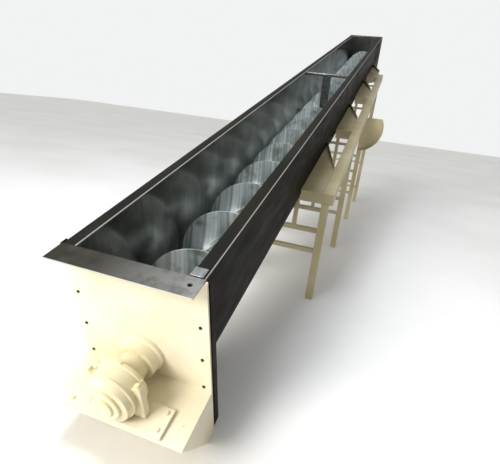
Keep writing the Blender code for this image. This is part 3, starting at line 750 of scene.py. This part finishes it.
# painted shade: a dark steel disc under the hole makes the hole look dark inside
HOLE_SHADE_R, HOLE_SHADE_H = HOLE_R + 0.003, 0.007
hole_shade_disc = add_prism(bmesh.new(), arc(HOLE, HOLE_SHADE_R, 0, 330, 11), 2, low.z - HOLE_SHADE_H, low.z - SLIT)
finish_piece("cover_bar_hole_shade_disc", hole_shade_disc, [scale_steel])
CLIP_X, CLIP_Y, CLIP_T = (0.206, 0.252), (0.004, 0.046), 0.0025
clip_z = node_box("top_angle_right")[1].z
clip_corners = [(CLIP_X[0], CLIP_Y[0]), (CLIP_X[0], CLIP_Y[1]),
                (CLIP_X[1], CLIP_Y[1]), (CLIP_X[1], CLIP_Y[0])]
clip = add_prism(bmesh.new(), clip_corners, 2, clip_z + SLIT, clip_z + CLIP_T)
finish_piece("corner_clip", clip, [tube_steel], bevel=0.001)
rounded_copy("tail_top_bar", bar_steel, 0.0012)
rounded_copy("tail_end_plate", polished_inside)

# %% [markdown]
# The gear unit is round and cast, in line with the screw. Turning a profile gives the case,
# its two rims and its nose, with small fillets where a casting has them. Rim bolts and the
# foot lugs come on top.

# %% Gear unit
BACK, NOSE = -0.139, node_box("gear_case")[0].y
BORE, BORE_DEPTH = 0.0284, 0.03
RIM_R, RIM_T = 0.099, 0.015     # the rim at the back, with a bolt circle
BODY_R = 0.092
JOINT_R, JOINT_Y = 0.0975, -0.2105
NOSE_R = 0.088
CASE_PROFILE = [
    (BORE, BACK - BORE_DEPTH), (BORE, BACK),
    (RIM_R - 0.002, BACK), (RIM_R, BACK - 0.002),
    (RIM_R, BACK - RIM_T + 0.002), (RIM_R - 0.002, BACK - RIM_T),
    (BODY_R + 0.001, BACK - RIM_T - 0.0015), (BODY_R, BACK - RIM_T - 0.004),
    (BODY_R, JOINT_Y + 0.0075), (BODY_R + 0.001, JOINT_Y + 0.005),
    (JOINT_R - 0.001, JOINT_Y + 0.0035), (JOINT_R, JOINT_Y + 0.002),
    (JOINT_R, JOINT_Y - 0.002), (JOINT_R - 0.001, JOINT_Y - 0.0035),
    (NOSE_R + 0.0015, JOINT_Y - 0.0043), (NOSE_R, JOINT_Y - 0.0065),
    (NOSE_R, -0.2330), (NOSE_R - 0.002, -0.2370),
    (0.0825, NOSE), (0.0, NOSE), (0.0, BACK - BORE_DEPTH)]
case = add_turned(bmesh.new(), CASE_PROFILE, 96)
foot = node_box("gear_base_plate")[1].z + SLIT
for vert in case.verts:
    vert.co.z = max(vert.co.z, foot)
finish_piece("cast_gear_case", case, [cast_enamel], replaces=("gear_case",))
rounded_copy("gear_end_cap", cast_enamel, 0.001)
rounded_copy("drive_bearing", cast_enamel, 0.001)
NECK_BORE, NECK_R = 0.031, 0.055
neck_start, neck_end = node_box("drive_bearing")[0].y - 0.0005, BACK + 0.0005
neck = add_turned(bmesh.new(), [(NECK_BORE, neck_end), (NECK_BORE, neck_start), (NECK_R, neck_start),
                                (NECK_R, neck_end)])
finish_piece("gear_neck", neck, [cast_enamel])

LUG_X, LUG_Y, LUG_R, LUG_TOP = 0.094, -0.179, 0.018, 0.062
LUG_HALF = 0.014
lug = bmesh.new()
for sign in (1, -1):
    ear = [(0.070, foot), (0.113, foot)]
    ear += arc((LUG_X, LUG_TOP - LUG_R), LUG_R, 0, 150, 10) + [(0.070, 0.050)]
    add_prism(lug, [(sign * x, z) for x, z in ear], 1, LUG_Y - LUG_HALF, LUG_Y + LUG_HALF)
finish_piece("gear_lugs", lug, [cast_enamel], bevel=0.003)
rim_rows = []
for turn in (math.radians(degrees) for degrees in (8, 62, -52)):
    out = Vector((math.sin(turn), 0, math.cos(turn)))
    rim_rows.append((out * (RIM_R - 0.0005) + Vector((0, BACK - RIM_T / 2, 0)), out))
bolts("gear_rim_bolts", rim_rows, 0.0055, cast_enamel, seed=3)
BEARING_FACE, BEARING_BOLT_R = PLATE_Y - 0.0575, 0.052
bearing_rows = circle_of_bolts((0, BEARING_FACE, 0), BEARING_BOLT_R, 4, FRONT, 0.4)
bolts("drive_bearing_bolts", bearing_rows, 0.006, cast_enamel)
BASE_EDGE = 0.022               # from the base plate's edges to its bolts
base_low, base_high = node_box("gear_base_plate")
base_rows = [((sign * (base_high.x - BASE_EDGE), y, base_high.z), UP) for sign in (1, -1)
             for y in (base_low.y + BASE_EDGE, base_high.y - BASE_EDGE)]
base_rows += [((sign * LUG_X, LUG_Y, LUG_TOP), UP) for sign in (1, -1)]
bolts("gear_base_bolts", base_rows, 0.008, cast_enamel, seed=5)

# %% [markdown]
# The far half of the machine is smaller in view but is made with the same care: the hanger
# that carries the middle of the screw, the tail bearing and the outlet spout.

# %% Hanger, tail bearing and spout
for name in ("hanger_bar", "hanger_strap"):
    rounded_copy(name, turned_steel, 0.001)
rounded_copy("hanger_bearing", tube_steel, 0.001)
rounded_copy("tail_bearing", bar_steel, 0.001)
rounded_copy("outlet_spout", scale_steel, 0.0008)
hanger_low, hanger_high = node_box("hanger_bar")
hanger_y = (hanger_low.y + hanger_high.y) / 2
HANGER_BOLT_X = 0.185
HANGER_SUNK = 0.0095            # how far the bolts' seat is below the bar's highest point
hanger_rows = [((sign * HANGER_BOLT_X, hanger_y, hanger_high.z - HANGER_SUNK), UP) for sign in (1, -1)]
bolts("hanger_bolts", hanger_rows, 0.008, zinc, seed=2)
TAIL_Y = node_box("tail_end_plate")[1].y
REAR = (0, 1, 0)
TAIL_FLANGE_T, TAIL_BOLT_R = 0.014, 0.072
tail_ring = circle_of_bolts((0, TAIL_Y + TAIL_FLANGE_T, 0), TAIL_BOLT_R, 4, REAR, 0.785)
bolts("tail_bearing_bolts", tail_ring, 0.007, zinc)
tail_rows = [((sign * PLATE_BOLT_X, TAIL_Y, z), REAR) for sign in (1, -1) for z in PLATE_BOLT_Z]
bolts("tail_plate_bolts", tail_rows, 0.010, zinc, seed=4)
FLANGE_X, FLANGE_HALF_Y = 0.202, 0.200
SPOUT_MIDDLE = sum(MOUTH_Y) / 2
flange_z = node_box("outlet_spout")[0].z + SHEET
spout_rows = []
for sign in (1, -1):
    spout_rows += [((sign * FLANGE_X, SPOUT_MIDDLE + y, flange_z), UP) for y in (-0.19, -0.06, 0.06, 0.19)]
    spout_rows += [((x, SPOUT_MIDDLE + sign * FLANGE_HALF_Y, flange_z), UP) for x in (-0.1, 0.1)]
bolts("spout_flange_bolts", spout_rows, 0.009, zinc, seed=6)

# %% [markdown]
# The frame is welded from square tube and folded plate. The rails and stands are rounded
# copies, a fold goes along each bracket's raking edge, and beads run round the joints of
# bars and legs, because those welds are what makes a frame look built.

# %% Rails, brackets and stands
frame_nodes = ["rail_left", "rail_right", "guard_plate", "round_guard"]
frame_nodes += [f"stand_{n}" for n in (1, 2, 3, 4)]
frame_nodes += [f"bracket_{n}_{side}" for n in (1, 2, 3, 4) for side in ("left", "right")]
for name in frame_nodes:
    rounded_copy(name, shaded_frame_enamel, 0.0015)

FOLD_RISE, FOLD_T = 0.028, 0.004
RAKE_WALL = (0.2175, 0.925)     # where the raking edge meets the trough's wall, from the bracket's start
RAKE_RAIL = (0.3600, 0.420)     # and where it meets the rail
run = Vector(RAKE_RAIL) - Vector(RAKE_WALL)
inwards = Vector((run.y, -run.x)).normalized() * FOLD_T
fold = bmesh.new()
for number in (1, 2, 3, 4):
    for sign, side in ((1, "right"), (-1, "left")):
        low, high = node_box(f"bracket_{number}_{side}")
        wall_end, rail_end = (Vector(end) + Vector((0, low.y)) for end in (RAKE_WALL, RAKE_RAIL))
        corners = [wall_end, rail_end, rail_end + inwards, wall_end + inwards]
        add_prism(fold, [(sign * x, y) for x, y in corners], 2, high.z, high.z + FOLD_RISE)
finish_piece("bracket_folds", fold, [shaded_frame_enamel], bevel=0.001)

BAR_LEVELS = {1: (0.355, 0.5), 2: (0.355, 0.5, 0.635), 3: (0.355, 0.5, 0.635, 0.83),
              4: (0.245, 0.635, 1.28)}
LEG_X, BAR_HALF = 0.361, 0.015
ROUND_BAR = ((-BAR_HALF, -BAR_HALF), (-BAR_HALF, BAR_HALF), (BAR_HALF, BAR_HALF), (BAR_HALF, -BAR_HALF),
             (-BAR_HALF, -BAR_HALF))
weld_rows = []
for number, levels in BAR_LEVELS.items():
    low, high = node_box(f"stand_{number}", LEVEL)
    middle = (low.y + high.y) / 2
    for level in levels:
        for x in (LEG_X, -LEG_X):
            weld_rows += seam([(x, middle + y, level + z) for y, z in ROUND_BAR])
beads("stand_welds", weld_rows, 0.006, shaded_frame_enamel, LEVEL)

# %% [markdown]
# Where the trough's lengths meet, a weld runs round the outside. On the screw, a bead runs
# along the root of every blade. It follows the same helix as the blade.

# %% Trough seams and blade roots
SEAM_TOP = 0.355
SEAM_LINE = [(RADIUS, SEAM_TOP)] + arc((0, 0), RADIUS, 0, -180, 30) + [(-RADIUS, SEAM_TOP)]
seam_rows = []
for number in (2, 3):
    y = node_box(f"trough_section_{number}")[0].y
    seam_rows += seam([(x, y, z) for x, z in SEAM_LINE], 0.008)
beads("trough_seam_welds", seam_rows, 0.005, bar_steel)

ROOT_R = 0.0545
root_rows = []
for number in (1, 2, 3, 4):
    low, high = node_box(f"screw_flight_{number}")
    start, end = low.y + BLADE_T, high.y - BLADE_T
    count = int((end - start) / PITCH * 48)
    helix = []
    for step in range(count + 1):
        y = start + (end - start) * step / count
        angle = math.tau * (y - BLADE_TOP_Y) / PITCH
        helix.append((ROOT_R * math.sin(angle), y - BLADE_T / 2, ROOT_R * math.cos(angle)))
    root_rows += seam(helix, 0.010)
beads("blade_root_weld", root_rows, 0.006, tube_steel, body="screw")

# %% [markdown]
# The photo was taken standing at the low end, from a little over chest height. The camera
# was fitted to the machine's straight edges, and its directions are written as vectors.

# %% Camera
CAMERA_PLACE = Vector((0.58283, -4.33669, 1.23983))
CAMERA_FORWARD = Vector((-0.27609, 0.91395, -0.29752))
CAMERA_RIGHT = Vector((0.93898, 0.32255, 0.11949))
CAMERA_UP = Vector((-0.20517, 0.24637, 0.94723))
camera_data = bpy.data.cameras.new("camera")
camera_data.lens = 28.34
camera_data.sensor_width = 36.0
camera = bpy.data.objects.new("camera", camera_data)
bpy.context.scene.collection.objects.link(camera)
axes = Matrix((CAMERA_RIGHT, CAMERA_UP, -CAMERA_FORWARD)).transposed().to_4x4()
camera.matrix_world = Matrix.Translation(CAMERA_PLACE) @ axes
bpy.context.scene.camera = camera

# %% [markdown]
# The light is that of a bright hall. Soft daylight comes from the front left and a large
# source behind the photographer burns out the end plate. The surroundings are white near
# the horizon, dim higher up, so that the flat steel tops stay dark, and bright again
# overhead, where the blades find their highlights. The right-hand side is dimmer.

# %% Floor, light and surroundings
floor_mesh = bmesh.new()
bmesh.ops.create_grid(floor_mesh, x_segments=1, y_segments=1, size=30)
floor_data = bpy.data.meshes.new("studio_floor")
floor_mesh.to_mesh(floor_data)
floor_mesh.free()
floor = bpy.data.objects.new("studio_floor", floor_data)
floor.location.z = -0.0005
bpy.context.scene.collection.objects.link(floor)
floor_finish, tree, shader, where = start_material("pale_studio_floor")
tree.links.new(blend_by(tree, noise(tree, where, 1.5), 0.3, 0.7, "#f0efec", "#e6e5e1"),
               shader.inputs["Base Color"])
shader.inputs["Roughness"].default_value = 0.6
floor_data.materials.append(floor_finish)


def soft_light(name, place, aim, size, power, colour):
    """A square area light that looks at a point."""
    data = bpy.data.lights.new(name, "AREA")
    data.energy = power
    data.size = size
    data.color = linear(colour)[:3]
    lamp = bpy.data.objects.new(name, data)
    lamp.location = place
    lamp.rotation_euler = (Vector(aim) - Vector(place)).to_track_quat("-Z", "Y").to_euler()
    bpy.context.scene.collection.objects.link(lamp)


soft_light("hall_window", (-1.9, -6.7, 3.0), (0, -3.0, 0.4), 2.2, 145, "#fffaf0")
soft_light("roof_light", (-1.2, -3.2, 6.0), (0, 0.6, 1.2), 2.4, 260, "#eef4ff")
daylight = bpy.data.lights.new("daylight", "SUN")
daylight.energy = 1.55
daylight.angle = math.radians(25)
sun = bpy.data.objects.new("daylight", daylight)
sun.rotation_euler = Vector((0.42, 0.82, -0.52)).to_track_quat("-Z", "Y").to_euler()
bpy.context.scene.collection.objects.link(sun)
world = bpy.data.worlds.new("pale_hall")
world.use_nodes = True
tree = world.node_tree
tree.nodes["Background"].inputs["Color"].default_value = linear("#f7f8f8")
sky = add_node(tree, "ShaderNodeTexCoord").outputs["Generated"]
rise = add_node(tree, "ShaderNodeSeparateXYZ", {0: sky}).outputs["Z"]
across = add_node(tree, "ShaderNodeSeparateXYZ", {0: sky}).outputs["X"]


def ramp(value, start, end, first, last):
    """A number that runs from first to last while value runs from start to end."""
    return add_node(tree, "ShaderNodeMapRange", {"Value": value, "From Min": start, "From Max": end,
                                                 "To Min": first, "To Max": last}).outputs["Result"]


horizon = ramp(rise, 0.28, 0.50, 0.95, 0.22)
skylight = ramp(rise, 0.70, 0.90, 0.0, 0.8)
right_side = ramp(across, 0.30, 0.75, 1.0, 0.35)
upper = add_node(tree, "ShaderNodeMath", {0: horizon, 1: skylight}, operation="ADD").outputs[0]
both = add_node(tree, "ShaderNodeMath", {0: upper, 1: right_side}, operation="MULTIPLY").outputs[0]
tree.links.new(both, tree.nodes["Background"].inputs["Strength"])
bpy.context.scene.world = world
bpy.context.scene.view_settings.view_transform = "Standard"
